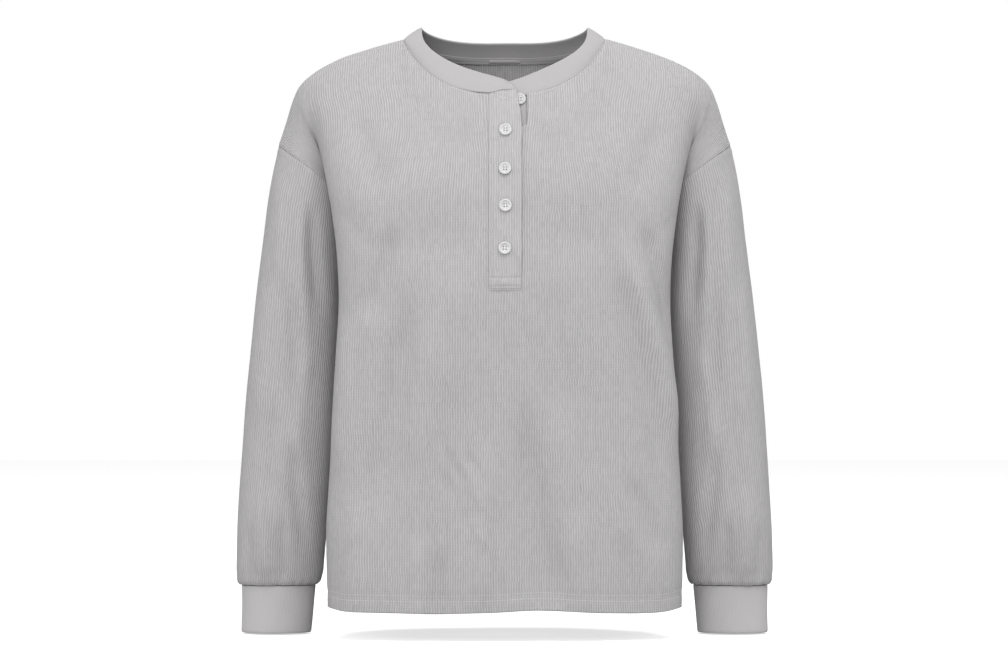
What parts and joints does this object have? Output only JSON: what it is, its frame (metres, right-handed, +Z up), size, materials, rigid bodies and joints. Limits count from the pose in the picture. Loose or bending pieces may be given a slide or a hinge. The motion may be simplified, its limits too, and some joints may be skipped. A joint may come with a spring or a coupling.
{
  "type": "henley shirt",
  "caption": "Long-sleeved henley shirt in waffle knit, hollow and filled out with no wearer, with a buttoned placket, banded neck and ribbed cuffs.",
  "frame": {"origin": "middle of the neck opening, level with the points where the shoulder seams meet the neckband", "axes": "+Z up along the body, -Y the front with the placket, +X the viewer's right"},
  "size_m": [0.6036, 0.2654, 0.6796],
  "materials": {
    "waffle_knit": "matt light grey cotton knit with fine upright ribs",
    "smooth_rib": "matt light grey fine rib, smoother than the body",
    "button": "light grey, softly polished"
  },
  "bodies": {
    "root": {"front_panel": "waffle_knit", "back_panel": "waffle_knit", "sleeve_left": "waffle_knit", "sleeve_right": "waffle_knit", "cuff_left": "smooth_rib", "cuff_right": "smooth_rib", "neckband": "smooth_rib", "placket_over": "waffle_knit", "placket_under": "smooth_rib", "neck_tape": "smooth_rib", "hanger_loop": "smooth_rib", "button_1": "button", "button_2": "button", "button_3": "button", "button_4": "button", "button_5": "button"}
  },
  "joints": []
}
